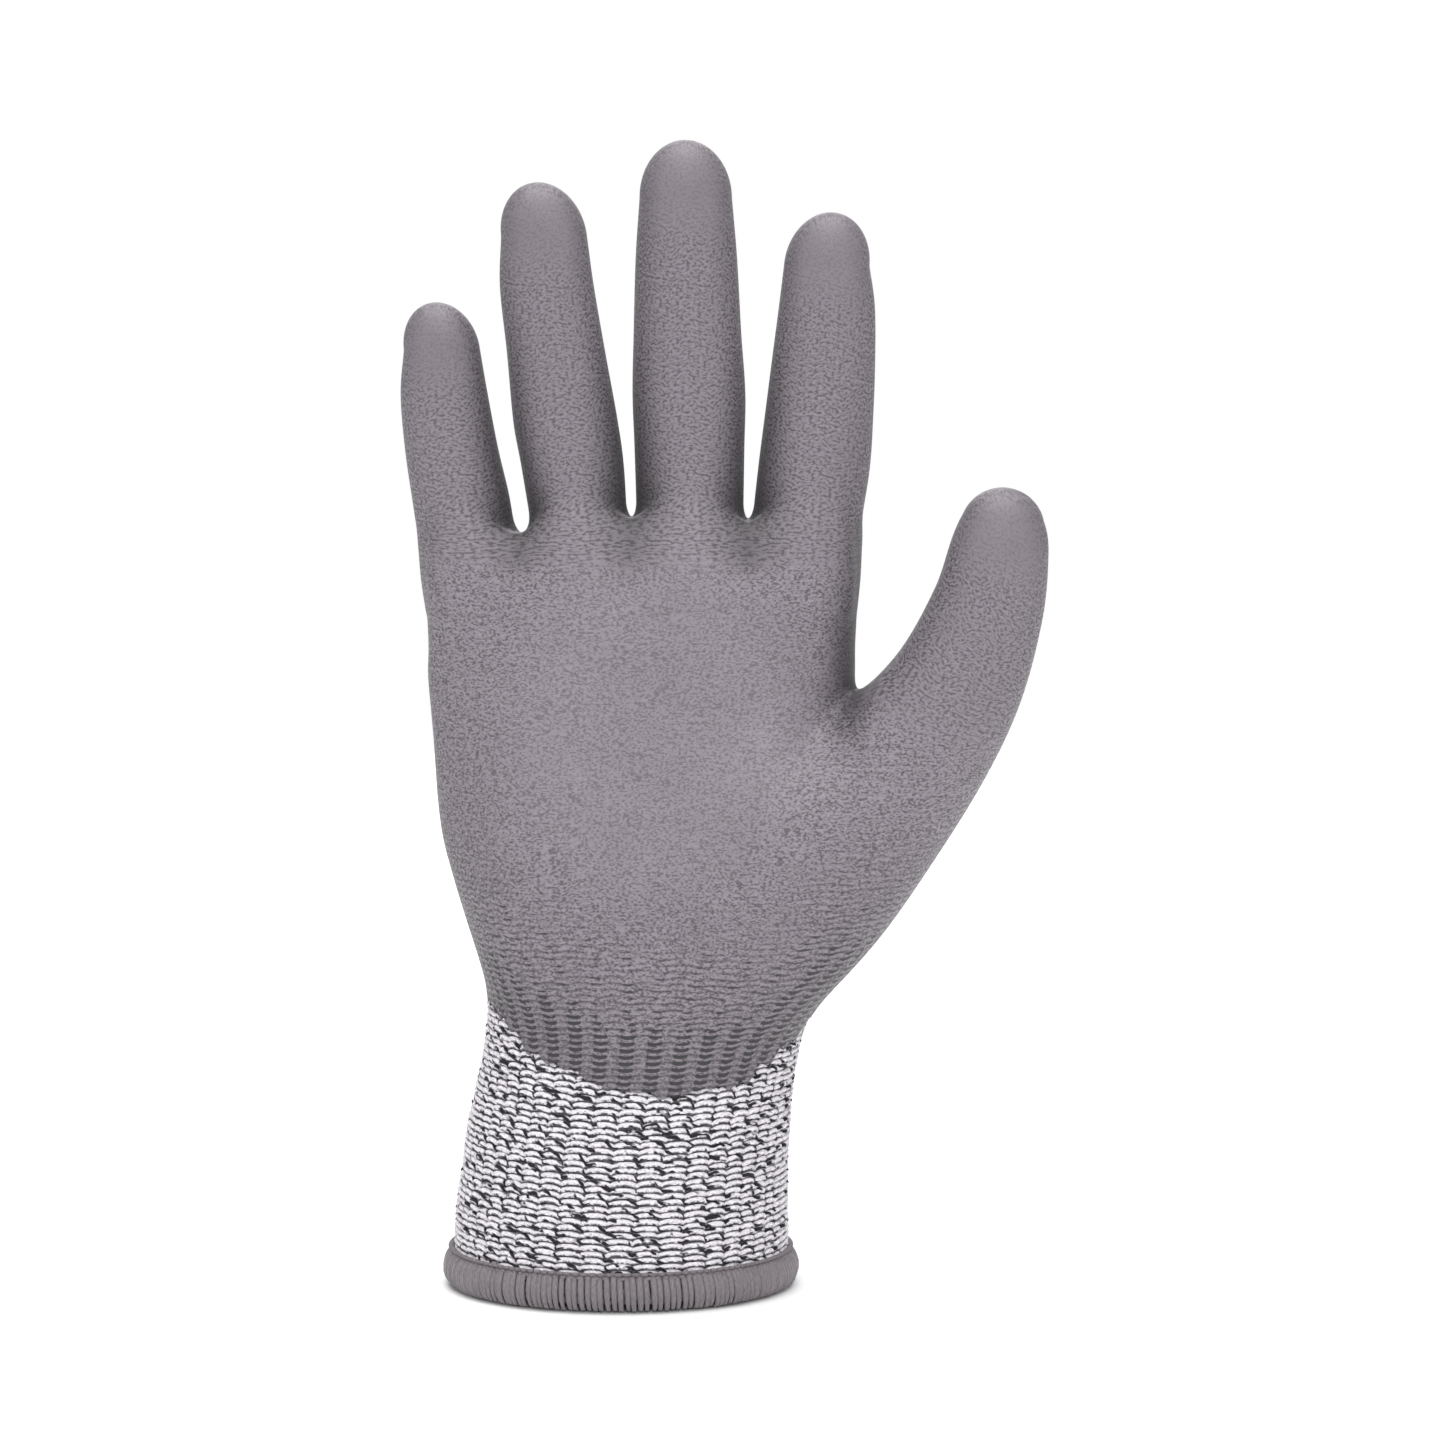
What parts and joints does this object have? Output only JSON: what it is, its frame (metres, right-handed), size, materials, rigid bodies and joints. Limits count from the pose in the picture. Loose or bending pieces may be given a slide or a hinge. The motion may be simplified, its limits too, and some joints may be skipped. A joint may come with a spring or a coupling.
{
  "type": "cut resistant glove",
  "caption": "Right-hand seamless knitted work glove with a polyurethane coated palm and fingers, a ribbed elastic cuff and an overlocked hem.",
  "frame": {"origin": "centre of the cuff's mouth, on the plane of the hem's bottom", "axes": "+Z from the cuff to the fingertips, +X towards the thumb, the coated palm faces -Y"},
  "size_m": [0.1394, 0.0574, 0.2505],
  "materials": {
    "liner_yarn": "grey and white marl knit, 13 gauge, matte",
    "coating": "matte grey polyurethane film that follows the knit",
    "cuff_yarn": "white and grey marl rib knit",
    "hem_thread": "grey overlock thread",
    "elastic": "covered elastic yarn"
  },
  "bodies": {
    "cuff": {"cuff_knit": "cuff_yarn", "cuff_elastic_rings": "elastic", "hem_overlock_binding": "hem_thread", "hem_needle_thread": "hem_thread"},
    "palm": {"palm_liner": "liner_yarn", "palm_coating": "coating", "thumb_base_liner": "liner_yarn", "thumb_base_coating": "coating"},
    "knuckles": {"knuckle_liner": "liner_yarn", "knuckle_coating": "coating"},
    "little_root": {"little_root_liner": "liner_yarn", "little_root_coating": "coating"},
    "little_middle": {"little_middle_liner": "liner_yarn", "little_middle_coating": "coating"},
    "little_tip": {"little_tip_liner": "liner_yarn", "little_tip_coating": "coating"},
    "ring_root": {"ring_root_liner": "liner_yarn", "ring_root_coating": "coating"},
    "ring_middle": {"ring_middle_liner": "liner_yarn", "ring_middle_coating": "coating"},
    "ring_tip": {"ring_tip_liner": "liner_yarn", "ring_tip_coating": "coating"},
    "middle_root": {"middle_root_liner": "liner_yarn", "middle_root_coating": "coating"},
    "middle_middle": {"middle_middle_liner": "liner_yarn", "middle_middle_coating": "coating"},
    "middle_tip": {"middle_tip_liner": "liner_yarn", "middle_tip_coating": "coating"},
    "index_root": {"index_root_liner": "liner_yarn", "index_root_coating": "coating"},
    "index_middle": {"index_middle_liner": "liner_yarn", "index_middle_coating": "coating"},
    "index_tip": {"index_tip_liner": "liner_yarn", "index_tip_coating": "coating"},
    "thumb_root": {"thumb_root_liner": "liner_yarn", "thumb_root_coating": "coating"},
    "thumb_tip": {"thumb_tip_liner": "liner_yarn", "thumb_tip_coating": "coating"}
  },
  "joints": [
    {"name": "wrist_flex", "type": "hinge", "parent": "cuff", "child": "palm", "pos_m": [0.0038, -0.0244, 0.045], "axis": [1, 0, 0], "range_deg": [0, 40], "stiffness_Nm_per_rad": 0.6},
    {"name": "knuckle_fold", "type": "hinge", "parent": "palm", "child": "knuckles", "pos_m": [0.0051, -0.0156, 0.143], "axis": [1, 0, 0], "range_deg": [0, 30], "stiffness_Nm_per_rad": 0.2},
    {"name": "little_root_fold", "type": "hinge", "parent": "knuckles", "child": "little_root", "pos_m": [-0.0329, -0.00876, 0.166], "axis": [1, 0, 0], "range_deg": [0, 60], "stiffness_Nm_per_rad": 0.05},
    {"name": "little_middle_fold", "type": "hinge", "parent": "little_root", "child": "little_middle", "pos_m": [-0.03496, -0.00968, 0.18276], "axis": [0.9925, 0, 0.1219], "range_deg": [0, 95], "stiffness_Nm_per_rad": 0.02},
    {"name": "little_tip_fold", "type": "hinge", "parent": "little_middle", "child": "little_tip", "pos_m": [-0.03668, -0.0112, 0.19679], "axis": [0.9925, 0, 0.1219], "range_deg": [0, 60], "stiffness_Nm_per_rad": 0.01},
    {"name": "ring_root_fold", "type": "hinge", "parent": "knuckles", "child": "ring_root", "pos_m": [-0.0085, -0.00912, 0.166], "axis": [1, 0, 0], "range_deg": [0, 60], "stiffness_Nm_per_rad": 0.05},
    {"name": "ring_middle_fold", "type": "hinge", "parent": "ring_root", "child": "ring_middle", "pos_m": [-0.01142, -0.01101, 0.19329], "axis": [0.9943, 0, 0.1063], "range_deg": [0, 95], "stiffness_Nm_per_rad": 0.02},
    {"name": "ring_tip_fold", "type": "hinge", "parent": "ring_middle", "child": "ring_tip", "pos_m": [-0.01376, -0.0133, 0.21526], "axis": [0.9943, 0, 0.1063], "range_deg": [0, 60], "stiffness_Nm_per_rad": 0.01},
    {"name": "middle_root_fold", "type": "hinge", "parent": "knuckles", "child": "middle_root", "pos_m": [0.0155, -0.00975, 0.166], "axis": [1, 0, 0], "range_deg": [0, 60], "stiffness_Nm_per_rad": 0.05},
    {"name": "middle_middle_fold", "type": "hinge", "parent": "middle_root", "child": "middle_middle", "pos_m": [0.01499, -0.01134, 0.19869], "axis": [0.9999, 0, 0.0157], "range_deg": [0, 95], "stiffness_Nm_per_rad": 0.02},
    {"name": "middle_tip_fold", "type": "hinge", "parent": "middle_middle", "child": "middle_tip", "pos_m": [0.0146, -0.01295, 0.22341], "axis": [0.9999, 0, 0.0157], "range_deg": [0, 60], "stiffness_Nm_per_rad": 0.01},
    {"name": "index_root_fold", "type": "hinge", "parent": "knuckles", "child": "index_root", "pos_m": [0.0408, -0.0102, 0.166], "axis": [1, 0, 0], "range_deg": [0, 60], "stiffness_Nm_per_rad": 0.05},
    {"name": "index_middle_fold", "type": "hinge", "parent": "index_root", "child": "index_middle", "pos_m": [0.04268, -0.01092, 0.19165], "axis": [0.9973, 0, -0.0732], "range_deg": [0, 95], "stiffness_Nm_per_rad": 0.02},
    {"name": "index_tip_fold", "type": "hinge", "parent": "index_middle", "child": "index_tip", "pos_m": [0.04414, -0.01201, 0.21144], "axis": [0.9973, 0, -0.0732], "range_deg": [0, 60], "stiffness_Nm_per_rad": 0.01},
    {"name": "thumb_root_fold", "type": "hinge", "parent": "palm", "child": "thumb_root", "pos_m": [0.06494, -0.02416, 0.12231], "axis": [0.8583, -0.1382, -0.4942], "range_deg": [0, 30], "stiffness_Nm_per_rad": 0.05},
    {"name": "thumb_tip_fold", "type": "hinge", "parent": "thumb_root", "child": "thumb_tip", "pos_m": [0.07631, -0.0246, 0.14865], "axis": [0.9407, -0.1382, -0.3099], "range_deg": [0, 60], "stiffness_Nm_per_rad": 0.02}
  ],
  "couplings": [
    {"joint": "little_tip_fold", "follows": "little_middle_fold", "ratio": 0.63},
    {"joint": "ring_tip_fold", "follows": "ring_middle_fold", "ratio": 0.63},
    {"joint": "middle_tip_fold", "follows": "middle_middle_fold", "ratio": 0.63},
    {"joint": "index_tip_fold", "follows": "index_middle_fold", "ratio": 0.63}
  ]
}
